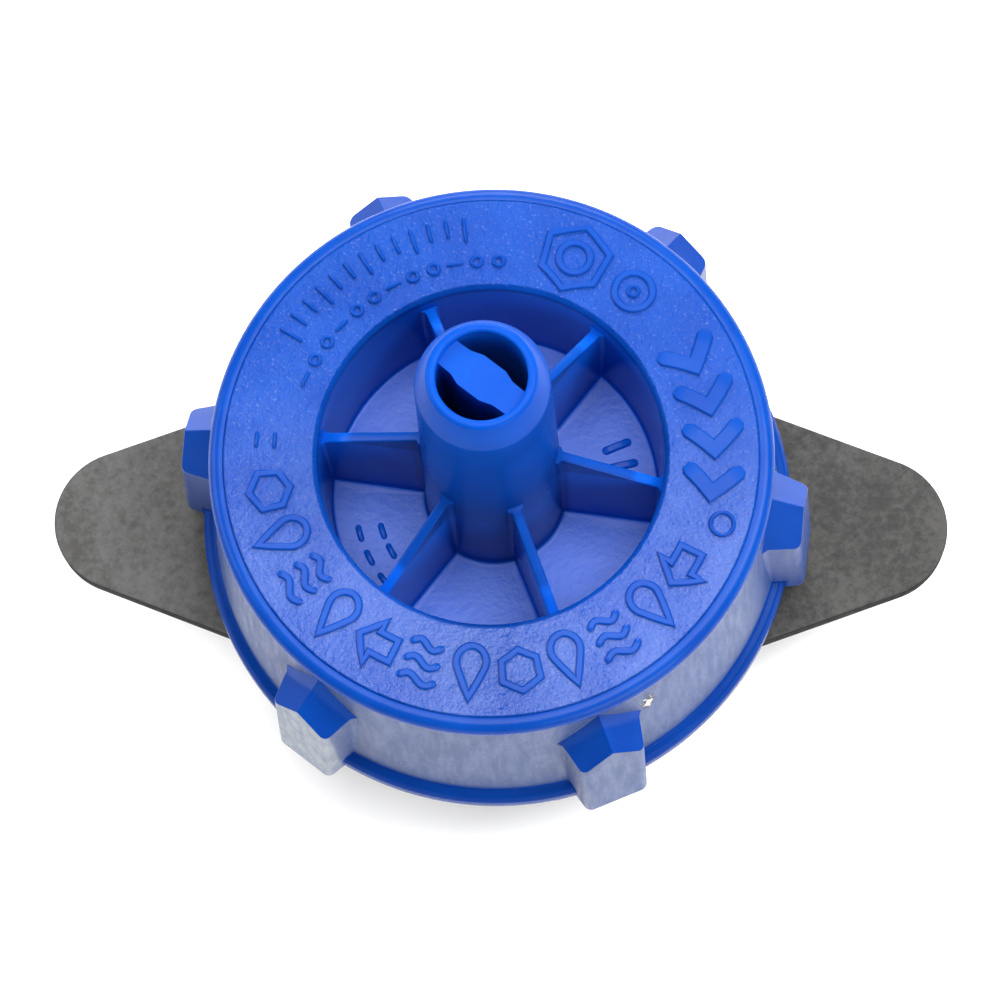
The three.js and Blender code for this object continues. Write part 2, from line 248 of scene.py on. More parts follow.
def bake_modifiers(obj):
    seen = obj.evaluated_get(bpy.context.evaluated_depsgraph_get())
    mesh = bpy.data.meshes.new_from_object(seen)
    obj.modifiers.clear()
    obj.data = mesh
    return obj


def boolean(obj, tool, operation):
    """Joins, cuts or crosses a solid with a tool, and uses the tool up."""
    step = obj.modifiers.new(operation, "BOOLEAN")
    step.operation = operation
    step.solver = "MANIFOLD"
    step.object = tool
    bake_modifiers(obj)
    bpy.data.objects.remove(tool)
    return obj


def bevel(obj, width, segments=2, angle=25.0):
    """Breaks every edge that is sharper than an angle."""
    step = obj.modifiers.new("bevel", "BEVEL")
    step.width = width
    step.segments = segments
    step.limit_method = "ANGLE"
    step.angle_limit = math.radians(angle)
    return bake_modifiers(obj)


def finished(obj, name, node, body, material, sharp=32.0):
    """Scales a solid to metres, smooths its shading and hands it to the frame."""
    mesh = obj.data
    mesh.transform(Matrix.Scale(MM, 4))
    mesh.shade_smooth()
    mesh.set_sharp_from_angle(angle=math.radians(sharp))
    mesh.materials.clear()
    mesh.materials.append(material)
    even = obj.modifiers.new("even", "WEIGHTED_NORMAL")
    even.keep_sharp = True
    even.weight = 80
    obj.name = name
    mesh.name = name
    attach(obj, body)
    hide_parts(node)
    return obj


# ---------------------------------------------------------------- cap

def cap_shell():
    """The cap's turned form: plug, skirt, flange, wall, bead, face, recess and nozzle."""
    bead = [(r, z, 0) for r, z in arc((RIM_R - BEAD_R, RIM_Z - 0.01 - BEAD_R), BEAD_R, -60, 105, 11)]
    corners = [
        (NOZZLE_BORE_R, FLOOR_UNDERSIDE_Z, 0.1),
        (POCKET_R, FLOOR_UNDERSIDE_Z, 0.1),
        (POCKET_R, PLUG_BOTTOM_Z, 0.1),
        (PLUG_R, PLUG_BOTTOM_Z, 0.25),
        (PLUG_R, GROOVE_Z[0], 0.06),
        (GROOVE_R, GROOVE_Z[0], 0.1),
        (GROOVE_R, GROOVE_Z[1], 0.1),
        (PLUG_R, GROOVE_Z[1], 0.06),
        (PLUG_R, ROOF_UNDERSIDE_Z, 0.4),
        (SKIRT_BORE_R, ROOF_UNDERSIDE_Z, 0.4),
        (SKIRT_BORE_R, FLANGE_BOTTOM_Z + 0.4, 0.3),
        (SKIRT_BORE_R + 0.4, FLANGE_BOTTOM_Z, 0.1),
        (FLANGE_R + 0.04, FLANGE_BOTTOM_Z, 0.08),
        (FLANGE_R, FLANGE_TOP_Z - 0.45, 0.2),
        (FLANGE_R - 0.17, FLANGE_TOP_Z - 0.2, 0.2),
        (WALL_BOTTOM_R + 0.05, FLANGE_TOP_Z - 0.12, 0.12),
        (WALL_BOTTOM_R - 0.02, FLANGE_TOP_Z + 0.2, 0.25),
        (WALL_TOP_R, RIM_Z - 1.0, 0.1),
        *bead,
        (BEAD_INNER_R, RIM_Z - 0.05, 0.04),
        (BEAD_INNER_R - 0.06, RIM_Z, 0.05),
        (RECESS_TOP_R, RIM_Z, 0.24),
        (RECESS_FLOOR_R, FLOOR_Z, 0.15),
        (NOZZLE_BASE_R, FLOOR_Z, 0.22),
        (NOZZLE_SHOULDER_R, NOZZLE_SHOULDER_Z, 0.6),
        (NOZZLE_TIP_R, TIP_Z, 0.22),
        (NOZZLE_BORE_R, TIP_Z, 0.1),
    ]
    return revolve("cap_shell", rounded(corners, 12.0))


def fillet(distance, radius):
    """How far a rounded inside corner stands out at a distance from the other wall."""
    if distance >= radius:
        return 0.0
    return radius - math.sqrt(radius ** 2 - (radius - max(distance, 0.0)) ** 2)


def nozzle_rib():
    """A thin plate that climbs to the nozzle and flares into the floor, the nozzle and the wall."""
    root, inner, outer, end = 2.3, 2.74, 6.66, 7.1
    low_top, high_top = RIM_Z - 0.95, RIM_Z + 1.1
    flare, crown = 0.16, 0.08
    rise = (high_top - low_top) / (outer - inner)
    near = [flare * k / 4 for k in range(5)]
    columns = [root] + [inner + d for d in near] + [3.6, 4.7, 5.8]
    columns += [outer - d for d in reversed(near)] + [end]
    heights = [FLOOR_Z - 0.4] + [FLOOR_Z + d for d in near] + [FLOOR_Z + 1.5, FLOOR_Z + 3.2]
    rings = []
    for x in columns:
        top = high_top - rise * (x - inner)
        ends = fillet(x - inner, flare) + fillet(outer - x, flare)
        side = []
        for z in heights + [top - crown, top - 0.5 * crown, top - 0.1 * crown, top]:
            thin = 0.25 - 0.05 * (z - FLOOR_Z) / 6.0
            over = max(0.0, (z - top + crown) / crown)
            half = (thin + ends) - crown * (1 - math.sqrt(max(0.0, 1 - over ** 2)))
            side.append((half + fillet(z - FLOOR_Z, flare), z))
        rings.append([(x, y, z) for y, z in side] + [(x, -y, z) for y, z in reversed(side)])
    return stack("rib", rings)


def grip_lug():
    """A drafted block on the wall, with rounded corners and a gabled roof that falls outwards."""
    root, wall, face, half = 10.4, 11.4, 12.86, 1.56
    lean, fall, slope = (math.tan(math.radians(a)) for a in (4.5, 26, 47))
    plan = rounded([
        (root, half + 0.2, 0), (wall, half + 0.2, 0.05), (wall + 0.2, half + 0.04, 0.25),
        (face, half - 0.26, 0.34), (face, 0.26 - half, 0.34),
        (wall + 0.2, -half - 0.04, 0.25), (wall, -half - 0.2, 0.05), (root, -half - 0.2, 0),
    ], 15.0)
    block = stack("lug", [[(x - lean * (z - FLANGE_BOTTOM_Z) * (x > root), y, z) for x, y in plan]
                          for z in (FLANGE_BOTTOM_Z, RIM_Z + 0.5)])
    ridge, eave = RIM_Z - 1.45, 2.3
    gable = [(-eave, ridge - eave * slope), (0, ridge), (eave, ridge - eave * slope)]
    sections = []
    for x in (root - 1, face + 1):
        drop = fall * (x - WALL_TOP_R)
        sections.append([(x, -eave, FLANGE_BOTTOM_Z), (x, eave, FLANGE_BOTTOM_Z)]
                        + [(x, y, z - drop) for y, z in reversed(gable)])
    return bevel(boolean(block, stack("roof", sections), "INTERSECT"), 0.1, 3)


def nozzle_web():
    """The flat bar across the bore, with narrow shoulders and a fuller middle."""
    end, narrow, full = 1.85, 0.53, 0.72
    side = [(end, narrow, 0), (0.98, narrow + 0.03, 0.25), (0.55, full, 0.3), (-0.45, full, 0.3),
            (-0.95, narrow + 0.03, 0.25), (-end, narrow, 0)]
    outline = rounded(side + [(-x, -y, r) for x, y, r in side], 20.0)
    web = prism("web", outline, TIP_Z - 4.5, TIP_Z - 0.32)
    return turned(web, RIB_PHASE - 30)


def thread_ridge(wall, crest, top, sink=0.2):
    """A rounded trapezoid ridge wound down from its top end, fading into the wall at both ends."""
    out = math.copysign(1.0, crest - wall)
    foot = wall - out * sink
    section = rounded([(foot, -0.5, 0), (crest, -0.27, 0.12), (crest, 0.27, 0.12), (foot, 0.5, 0)], 30.0)
    steps = 64
    rings = []
    for k in range(steps + 1):
        along = THREAD_SWEEP * k / steps
        height = min(1.0, along / THREAD_FADE, (THREAD_SWEEP - along) / THREAD_FADE)
        height = math.sin(height * math.pi / 2)
        ring = []
        for r, z in section:
            x, y = polar(foot + (r - foot) * (0.2 + 0.8 * height), -along)
            ring.append((x, y, top + z - THREAD_LEAD * along / 360))
        rings.append(ring)
    return stack("thread", rings)


# ---------------------------------------------------------------- raised marks
#
# Plain figures in place of the moulded lettering. A figure is a list of strokes, and a stroke is a list of
# (along, out) points in millimetres, with "along" running clockwise round the cap.

def ring_figure(radius):
    return [arc((0, 0), radius, 0, 360, 24)]


def drop_figure(width, height):
    """A water drop with its point outwards."""
    radius = width / 2
    low = radius - height / 2
    lean = math.degrees(math.acos(radius / (height - radius)))
    return [[(0, height / 2)] + arc((0, low), radius, 90 - lean, -270 + lean, 18) + [(0, height / 2)]]


def wave_figure(length, swing, gap):
    """Three ripples, one above the other."""
    steps = 20
    ripple = [(length * (k / steps - 0.5), swing * math.sin(math.tau * k / steps)) for k in range(steps + 1)]
    return [[(along, out + height) for along, height in ripple] for out in (-gap, 0, gap)]


def arrow_figure(length, height):
    """An outlined block arrow that points clockwise."""
    head, shaft = length * 0.45, height * 0.25
    tail, neck, tip = -length / 2, length / 2 - head, length / 2
    return [[(tail, -shaft), (neck, -shaft), (neck, -height / 2), (tip, 0), (neck, height / 2),
             (neck, shaft), (tail, shaft), (tail, -shaft)]]


def hexagon_figure(radius):
    return [arc((0, 0), radius, 30, 390, 6)]


def chevron_figure(width, height):
    return [[(-width / 2, height / 2), (width / 2, 0), (-width / 2, -height / 2)]]


def stroke_ridge(points, band, degrees, floor, half, height):
    """A raised ridge with a rounded crest along a stroke, bent round the cap at its band."""
    path = []
    for (u0, v0), (u1, v1) in zip(points, points[1:]):
        pieces = max(1, math.ceil(math.hypot(u1 - u0, v1 - v0) / 0.45))
        path += [(u0 + (u1 - u0) * k / pieces, v0 + (v1 - v0) * k / pieces) for k in range(pieces)]
    closed = math.dist(points[0], points[-1]) < 1e-6
    if not closed:
        path.append(points[-1])
    flat = [Vector(polar(band + v, degrees - math.degrees(u / band))) for u, v in path]
    slope = 0.5 * height
    crest = [(half - slope, 0.75 * height), (half - 1.8 * slope, height)]
    profile = [(-half, -0.05)] + [(-a, z) for a, z in crest]
    profile += [(a, z) for a, z in reversed(crest)] + [(half, -0.05)]
    rings = []
    for k, place in enumerate(flat):
        ahead = flat[(k + 1) % len(flat)] if closed or k + 1 < len(flat) else None
        behind = flat[k - 1] if closed or k > 0 else None
        headings = []
        if ahead:
            headings.append((ahead - place).normalized())
        if behind:
            headings.append((place - behind).normalized())
        along = sum(headings, Vector((0, 0))).normalized()
        side = Vector((-along.y, along.x))
        reach = 1 / max(0.55, along.dot(headings[0]))
        rings.append([(*(place + side * a * reach), floor + z) for a, z in profile])
    if not closed:
        for end, inner in ((0, 1), (-1, -2)):
            outward = (flat[end] - flat[inner]).normalized() * half * 0.6
            middle = flat[end] + outward
            tip = [(x + outward.x, y + outward.y, z) for x, y, z in rings[end]]
            tip = [(middle.x + (x - middle.x) * 0.55, middle.y + (y - middle.y) * 0.55,
                    floor + (z - floor) * (0.6 if z > floor else 1)) for x, y, z in tip]
            rings.insert(0 if end == 0 else len(rings), tip)
        return stack("stroke", rings)
    count = len(profile)
    verts = [v for ring in rings for v in ring]
    faces = [((j * count + i), (j * count + (i + 1) % count),
              ((j + 1) % len(rings)) * count + (i + 1) % count, ((j + 1) % len(rings)) * count + i)
             for j in range(len(rings)) for i in range(count)]
    return new_object("stroke", verts, faces)


def cap_marks():
    """The figures round the face and on the recess floor, each at its band, angle and stroke width."""
    bold, wide, fine = 0.36, 0.19, 0.12
    band, outer, inner = 8.65, 9.2, 7.85
    drop, wave, hexagon = drop_figure(1.2, 2.0), wave_figure(1.25, 0.16, 0.7), hexagon_figure(0.8)
    arrow, chevron, dash = arrow_figure(1.5, 1.8), chevron_figure(0.9, 1.9), [[(-0.26, 0), (0.26, 0)]]
    figures = [(chevron, band, 27.5 - 11.5 * k, RIM_Z, bold) for k in range(4)]
    figures.append((ring_figure(0.45), 9.35, -17, RIM_Z, fine))
    frieze = [arrow, drop, wave, drop, hexagon, drop, wave, arrow, drop, wave, drop, hexagon]
    figures += [(figure, band, -31 - 12.6 * k, RIM_Z, wide) for k, figure in enumerate(frieze)]
    figures += [(dash, 8.4 + 0.7 * k, 177, RIM_Z, fine) for k in range(2)]
    figures += [([[(0, -0.2 - 0.25 * (k % 3 == 0)), (0, 0.45)]], outer, 149 - 4.3 * k, RIM_Z, fine)
                for k in range(13)]
    figures += [(ring_figure(0.2) if k % 3 else dash, inner, 158 - 6.3 * k, RIM_Z, fine) for k in range(12)]
    figures += [(hexagon_figure(1.35), 8.6, 68.5, RIM_Z, wide), (ring_figure(0.62), 8.6, 68.5, RIM_Z, wide),
                (ring_figure(0.75), 8.6, 50.5, RIM_Z, wide), (ring_figure(0.2), 8.6, 50.5, RIM_Z, fine)]
    figures += [(dash, r, a, FLOOR_Z, 0.15)
                for r, first in ((5.7, 197), (4.8, 199)) for a in (first, first + 11, first + 22)]
    figures += [([[(0, -0.5), (0, 0.5)]], 5.3, a, FLOOR_Z, 0.2) for a in (14, 23)]
    strokes = [stroke_ridge(stroke, around_r, degrees, floor, half, 0.12)
               for figure, around_r, degrees, floor, half in figures for stroke in figure]
    return joined("marks", strokes)


def cap_thread():
    return thread_ridge(SKIRT_BORE_R, CAP_THREAD_CREST_R, THREAD_TOP_Z - CAP_THREAD_DROP)


def make_cap(material):
    cap = cap_shell()
    additions = [
        around("ribs", RIB_COUNT, RIB_PHASE, nozzle_rib),
        around("lugs", RIB_COUNT, LUG_PHASE, grip_lug),
        nozzle_web(),
        around("thread", THREAD_STARTS, 90, cap_thread),
    ]
    for piece in additions + [cap_marks()]:
        boolean(cap, piece, "UNION")
    return finished(cap, "cap_moulding", "cap", "cap", material)


# ---------------------------------------------------------------- base

def base_shell():
    """The base's turned form: barb, disc and spigot, with the bore and the strainer's seat."""
    inner, outer = SPIGOT_R
    top = BASE_HIGH.z
    seat = STRAINER_LOW.z - 0.05
    corners = [
        (INLET_BORE_R, BARB_TIP_Z, 0.12),
        (BARB_TIP_R, BARB_TIP_Z, 0.12),
        (BARB_TIP_R + 0.22, BARB_TIP_Z + 0.35, 0.3),
        (BARB_HEAD_R, -2.1, 0.1),
        (BARB_HEAD_R, -1.78, 0.1),
        (BARB_NECK_R, -1.65, 0.15),
        (BARB_NECK_R, 0, 0.2),
        (BASE_R, 0, 0.2),
        (BASE_R, BASE_TOP_Z, 0.2),
        (outer, BASE_TOP_Z, 0.25),
        (outer, top, 0.2),
        (inner, top, 0.35),
        (inner, BASE_TOP_Z, 0.2),
        (STRAINER_SEAT_R, BASE_TOP_Z, 0.1),
        (STRAINER_SEAT_R, seat, 0.05),
        (INLET_BORE_R + 0.7, seat, 0.1),
        (INLET_BORE_R, 0.2, 0.3),
    ]
    return revolve("base_shell", rounded(corners, 15.0))


def wing_ring(inset, z):
    """The wing's outline, pulled in by inset: a round tip and two straight flared edges."""
    centre_x = BASE_HIGH.x - WING_TIP_R
    radius = WING_TIP_R - inset
    reach = math.pi / 2 - WING_FLARE
    steps = 32
    tip = []
    for k in range(steps + 1):
        a = -reach + 2 * reach * k / steps
        tip.append((centre_x + radius * math.cos(a), radius * math.sin(a), z))
    touch_x, touch_y, _ = tip[-1]
    root_y = touch_y + (touch_x - WING_ROOT_X) * math.tan(WING_FLARE)
    return [(WING_ROOT_X, -root_y, z)] + tip + [(WING_ROOT_X, root_y, z)]


def base_wing():
    """One flat wing with softened edges."""
    edge = 0.09
    levels = [(edge * (1 - math.sin(a)), edge * (1 - math.cos(a))) for a in (0.0, 0.5, 1.05, math.pi / 2)]
    rings = [wing_ring(inset, rise) for inset, rise in levels]
    rings += [wing_ring(inset, WING_TOP_Z - drop) for inset, drop in reversed(levels)]
    return stack("wing", rings)


def core_pocket():
    """A shallow pocket in the underside, between two radial ribs."""
    inner, outer = CORE_POCKET_R
    half_rib = 0.6
    half_in, half_out = (180 / CORE_POCKETS - math.degrees(half_rib / r) for r in (inner, outer))
    outline = arc((0, 0), outer, -half_out, half_out, 12) + arc((0, 0), inner, half_in, -half_in, 8)
    return bevel(prism("pocket", outline, -1.0, CORE_POCKET_DEPTH), 0.12, 2, 40)


def base_thread():
    return thread_ridge(SPIGOT_R[1], BASE_THREAD_CREST_R, THREAD_TOP_Z)


def key_peg():
    return post("key", KEY_PEG_R, (KEY_R, 0), BASE_TOP_Z - 0.3, DISC_HIGH.z - 0.5)


def disc_rest():
    return post("rest", KEY_PEG_R, (CHANNEL_R[0], 0), BASE_TOP_Z - 0.3, DISC_LOW.z - 0.1)


def make_base(material):
    base = base_shell()
    additions = [
        around("wings", 2, 0, base_wing),
        around("thread", THREAD_STARTS, 90, base_thread),
        around("keys", 2, 90, key_peg),
        around("rests", 4, 45, disc_rest),
    ]
    for piece in additions:
        boolean(base, piece, "UNION")
    boolean(base, around("pockets", CORE_POCKETS, 180 / CORE_POCKETS, core_pocket), "DIFFERENCE")
    return finished(base, "base_moulding", "base_body", "base", material)


# ---------------------------------------------------------------- inner pieces

def channel_run(start, end, top):
    """One straight stretch of the labyrinth, with round ends."""
    heading = math.degrees(math.atan2(end[1] - start[1], end[0] - start[0]))
    outline = arc(end, CHANNEL_WIDTH / 2, heading - 90, heading + 90, 8)
    outline += arc(start, CHANNEL_WIDTH / 2, heading + 90, heading + 270, 8)
    return prism("run", outline, top - CHANNEL_DEPTH, top + 1)


def make_disc(material):
    """The insert, with its zigzag channel, its port and the notches for the base's keys."""
    low, high, radius = DISC_LOW.z, DISC_HIGH.z, DISC_HIGH.x
    disc = revolve("disc", rounded([(0, low, 0), (radius, low, 0.15), (radius, high, 0.06), (0, high, 0)]))
    turns = [CHANNEL_START + CHANNEL_STEP * k for k in range(CHANNEL_TURNS)]
    stops = [polar(CHANNEL_R[k % 2], degrees) for k, degrees in enumerate(turns)]
    route = [polar(radius - 0.2, CHANNEL_START)] + stops + [polar(CENTRE_POCKET_R, turns[-1])]
    for start, end in zip(route, route[1:]):
        boolean(disc, channel_run(start, end, high), "DIFFERENCE")
    tools = [post("pocket", CENTRE_POCKET_R, (0, 0), high - CHANNEL_DEPTH, high + 1, 0.05)]
    openings = [("port", radius, CHANNEL_START), ("key", KEY_R, 90), ("mouth", radius, 90),
                ("key", KEY_R, 270), ("mouth", radius, 270)]
    for name, reach, degrees in openings:
        tools.append(post(name, KEY_NOTCH_R, polar(reach, degrees), low - 1, high + 1, 0.05))
    for tool in tools:
        boolean(disc, tool, "DIFFERENCE")
    bevel(disc, 0.04, 1, 40)
    return finished(disc, "labyrinth_insert", "labyrinth_disc", "insert", material)


def make_strainer(material):
    """A dished plate with rings of small holes."""
    low, high, radius = STRAINER_LOW.z, STRAINER_HIGH.z, STRAINER_HIGH.x
    rim = radius - 0.5
    strainer = revolve("strainer", rounded([
        (0, low + 0.3, 0), (rim, low + 0.3, 0.1), (rim, low, 0.08), (radius, low, 0.08),
        (radius, high, 0.12), (0, high, 0)]), 96)
    holes = [(0, 0)] + [polar(0.75, 60 * k) for k in range(6)] + [polar(1.5, 20 + 40 * k) for k in range(9)]
    for x, y in holes:
        hole = post("hole", STRAINER_HOLE_R, (x, y), low - 1, high + 1, 0.02, 20)
        boolean(strainer, hole, "DIFFERENCE")
    return finished(strainer, "strainer_plate", "inlet_strainer", "base", material)


def make_seal(material):
    section = (SEAL_HIGH.z - SEAL_LOW.z) / 2
    centre_r = SEAL_HIGH.x - section
    centre_z = (SEAL_HIGH.z + SEAL_LOW.z) / 2
    ring = [(centre_r + section * math.cos(a), centre_z + section * math.sin(a))
            for a in (math.tau * k / 28 for k in range(28))]
    return finished(revolve("seal", ring), "seal_o_ring", "seal_ring", "cap", material)


# ---------------------------------------------------------------- materials

class Graph:
    """Builds one material's node tree; places are in millimetres in the frame's axes."""

    def __init__(self, name):
        self.material = bpy.data.materials.new(name)
        self.material.use_nodes = True
        self.tree = self.material.node_tree
        self.shader = self.tree.nodes["Principled BSDF"]
        metres = self.node("ShaderNodeTexCoord").outputs["Object"]
        inputs = {"Vector": metres, "Scale": 1 / MM}
        self.place = self.node("ShaderNodeVectorMath", inputs, operation="SCALE").outputs[0]
        parts = self.node("ShaderNodeSeparateXYZ", {"Vector": self.place}).outputs
        self.x, self.y, self.z = parts
        self.radius = self.math("SQRT", self.math("ADD", self.math("MULTIPLY", self.x, self.x),
                                                  self.math("MULTIPLY", self.y, self.y)))
        facing = self.node("ShaderNodeNewGeometry").outputs["Normal"]
        self.upward = self.node("ShaderNodeSeparateXYZ", {"Vector": facing}).outputs[2]

    def node(self, kind, inputs=None, **settings):
        made = self.tree.nodes.new(kind)
        for name, value in settings.items():
            setattr(made, name, value)
        for name, value in (inputs or {}).items():
            self.feed(made.inputs[name], value)
        return made

    def feed(self, socket, value):
        if isinstance(value, bpy.types.NodeSocket):
            self.tree.links.new(value, socket)
        else:
            socket.default_value = value

    def math(self, operation, first, second=0.0):
        made = self.node("ShaderNodeMath", operation=operation)
        self.feed(made.inputs[0], first)
        self.feed(made.inputs[1], second)
        return made.outputs[0]

    def vector(self, operation, first, second):
        """One of the vector sums that has a vector for its answer."""
        return self.node("ShaderNodeVectorMath", {0: first, 1: second}, operation=operation).outputs[0]

    def times(self, *values):
        result = values[0]
        for value in values[1:]:
            result = self.math("MULTIPLY", result, value)
        return result

    def ramp(self, value, low, high, start=0.0, end=1.0):
        """Runs smoothly from start to end as the value goes from low to high."""
        inputs = {"Value": value, "From Min": low, "From Max": high, "To Min": start, "To Max": end}
        return self.node("ShaderNodeMapRange", inputs, interpolation_type="SMOOTHSTEP").outputs[0]

    def fall(self, value, low, high):
        """Falls smoothly from 1 to 0 as the value goes from low to high."""
        return self.ramp(value, low, high, 1.0, 0.0)

    def noise(self, size, detail=3.0, roughness=0.5, stretch=(1, 1, 1), distortion=0.0):
        """Noise whose blobs are about this many millimetres across."""
        place = self.place
        if stretch != (1, 1, 1):
            place = self.vector("MULTIPLY", place, stretch)
        return self.node("ShaderNodeTexNoise", {
            "Vector": place, "Scale": 1 / size, "Detail": detail, "Roughness": roughness,
            "Distortion": distortion}).outputs[0]

    def specks(self, spacing, size, share):
        """Small round spots in a share of the cells, 1 inside a spot."""
        cells = self.node("ShaderNodeTexVoronoi", {"Vector": self.place, "Scale": 1 / spacing})
        chosen = self.node("ShaderNodeSeparateColor", {"Color": cells.outputs["Color"]}).outputs[0]
        near = self.fall(cells.outputs["Distance"], 0.5 * size / spacing, 0.7 * size / spacing)
        return self.times(near, self.math("LESS_THAN", chosen, share))

    def distance(self, point, height_share):
        """How many millimetres away from a point, with heights counted at a share of their size."""
        away = self.vector("SUBTRACT", self.place, point)
        flat = self.vector("MULTIPLY", away, (1, 1, height_share))
        return self.node("ShaderNodeVectorMath", {0: flat}, operation="LENGTH").outputs["Value"]

    def blend(self, factor, first, second):
        """A colour between two others."""
        made = self.node("ShaderNodeMix", data_type="RGBA")
        for socket, value in ((0, factor), (6, first), (7, second)):
            self.feed(made.inputs[socket], (*value, 1) if isinstance(value, tuple) else value)
        return made.outputs[2]

    def level(self, factor, first, second):
        """A number between two others."""
        made = self.node("ShaderNodeMix", data_type="FLOAT")
        for socket, value in ((0, factor), (2, first), (3, second)):
            self.feed(made.inputs[socket], value)
        return made.outputs[0]

    def bump(self, height, distance, below=None):
        """Adds relief of so many millimetres for a height of one."""
        inputs = {"Height": height, "Distance": distance * MM, "Strength": 1.0}
        if below:
            inputs["Normal"] = below
        return self.node("ShaderNodeBump", inputs).outputs[0]

    def finish(self, color, roughness, normal=None, **constants):
        self.feed(self.shader.inputs["Base Color"], (*color, 1) if isinstance(color, tuple) else color)
        self.feed(self.shader.inputs["Roughness"], roughness)
        if normal:
            self.feed(self.shader.inputs["Normal"], normal)
        for name, value in constants.items():
            self.shader.inputs[name.replace("_", " ")].default_value = value
        return self.material


def cap_plastic():
    """Blue polymer: a spark-eroded face with smooth marks, a polished rim, a frosted and scuffed skirt, with
    painted glow in the recess, bore and tip, painted light on the recess floor, a painted reflection in the
    skirt, painted sheen and glints on the face, and painted shade on the web's sides, the nozzle and the
    flange.
    """
    g = Graph("cap_plastic")
    on_face = g.times(g.ramp(g.radius, 6.8, 6.95), g.fall(g.radius, 10.3, BEAD_INNER_R),
                      g.ramp(g.z, RIM_Z - 0.3, RIM_Z - 0.2), g.fall(g.z, RIM_Z + 0.02, RIM_Z + 0.05))
    outside = g.times(g.ramp(g.radius, 10.6, 10.75), g.fall(g.z, RIM_Z - 1.12, RIM_Z - 0.98),
                      g.ramp(g.z, FLANGE_TOP_Z - 0.05, FLANGE_TOP_Z + 0.25), g.fall(g.upward, 0.3, 0.55))
    lug_front = g.times(g.ramp(g.radius, 12.15, 12.35), g.fall(g.upward, 0.3, 0.5))
    outside = g.math("MAXIMUM", outside, lug_front)
    on_floor = g.times(g.fall(g.radius, 6.5, 6.65), g.fall(g.z, FLOOR_Z + 0.04, FLOOR_Z + 0.09),
                       g.ramp(g.upward, 0.6, 0.9))
    in_recess = g.times(g.ramp(g.radius, 2.5, 3.2), g.fall(g.radius, RECESS_TOP_R + 0.02, RECESS_TOP_R + 0.1),
                        g.fall(g.z, RIM_Z - 0.5, RIM_Z - 0.3))
    in_bore = g.times(g.fall(g.radius, NOZZLE_BORE_R + 0.02, NOZZLE_BORE_R + 0.08),
                      g.fall(g.upward, 0.5, 0.8))
    web_side = g.times(g.fall(g.radius, NOZZLE_BORE_R - 0.12, NOZZLE_BORE_R - 0.06),
                       g.fall(g.upward, 0.3, 0.6))
    on_nozzle = g.times(g.fall(g.radius, 2.9, 3.2), g.fall(g.z, RIM_Z, TIP_Z - 1.0))
    on_flange = g.times(g.ramp(g.radius, 11.4, 11.5), g.fall(g.radius, 12.15, 12.3),
                        g.fall(g.z, FLANGE_TOP_Z - 0.1, FLANGE_TOP_Z + 0.2))
    on_lugs = g.times(g.ramp(g.radius, 11.2, 11.4), g.ramp(g.z, FLANGE_TOP_Z + 0.1, FLANGE_TOP_Z + 0.4))
    # The skirt's mask fades from the front to the sides and back, so its milky tint there, with its painted
    # reflection, is weaker.
    outside = g.times(outside, g.ramp(g.y, -5.0, -2.5, 1.0, 0.6))
    front = g.fall(g.y, -9.0, 7.0)
    grain = g.noise(0.12, 2.0, 0.6)
    peel = g.noise(0.3, 2.0, 0.55)
    cloud = g.noise(3.0, 4.0, 0.6)
    streaks = g.noise(0.35, 4.0, 0.6, stretch=(1, 1, 0.12))
    scuffs = g.ramp(g.noise(0.45, 6.0, 0.7, distortion=0.4), 0.48, 0.85)
    # Painted sheen: the face is whitened towards the front.
    painted_face_sheen = g.times(on_face, front, g.ramp(cloud, 0.4, 0.65))

    # The whitish colour serves the scuffs and grain, and the painted sheen and glints on the face.
    blue, deep, scuff_and_sheen = (0.0019, 0.046, 0.285), (0.0014, 0.037, 0.25), (0.3, 0.34, 0.42)
    # The second row: a glow painted where light passes through, painted light for the recess floor, and a
    # milky tint that is partly frost and partly a painted reflection.
    lit_through, lit_floor, frost_and_reflection = (0.002, 0.11, 0.72), (0.042, 0.155, 0.71), (0.053, 0.079, 0.13)
    color = g.blend(g.ramp(cloud, 0.35, 0.65), deep, blue)
    # Painted glow in the recess walls and in the bore.
    color = g.blend(g.times(in_recess, 0.38), color, lit_through)
    color = g.blend(g.times(in_bore, 0.45), color, lit_through)
    # Painted shade on the web's sides inside the bore.
    color = g.blend(g.times(web_side, 0.85), color, (0.0006, 0.01, 0.07))
    # Painted shade on the nozzle and round its foot.
    color = g.blend(g.times(on_nozzle, 0.35), color, (0.001, 0.018, 0.14))
    # Painted glow towards the nozzle's tip.
    color = g.blend(g.times(g.ramp(g.z, TIP_Z - 2.2, TIP_Z - 0.4), 0.16), color, lit_through)
    # Painted shade on the flange's top.
    color = g.blend(g.times(on_flange, 0.42), color, (0.0008, 0.02, 0.14))
    color = g.blend(g.times(on_lugs, 0.2), color, (0.001, 0.028, 0.22))
    # Painted light on the recess floor.
    color = g.blend(g.times(on_floor, 0.5), color, lit_floor)
    # Milky tint of the skirt: partly its frost, partly a painted reflection of the floor.
    color = g.blend(g.times(outside, g.ramp(streaks, 0.3, 0.7, 0.52, 0.62)), color, frost_and_reflection)
    color = g.blend(g.times(outside, scuffs, 0.14), color, scuff_and_sheen)
    color = g.blend(g.times(outside, g.ramp(grain, 0.5, 0.72), 0.1), color, scuff_and_sheen)
    worn = g.times(lug_front, g.fall(g.x, -4.0, -2.0), g.fall(g.y, -8.0, -6.0))
    scraped = g.ramp(g.noise(0.5, 6.0, 0.75, stretch=(1, 1, 0.5)), 0.3, 0.7, 0.28, 0.62)
    color = g.blend(g.times(worn, scraped), color, (0.37, 0.4, 0.37))
    # Painted sheen towards the front of the face.
    color = g.blend(g.times(painted_face_sheen, 0.07), color, scuff_and_sheen)
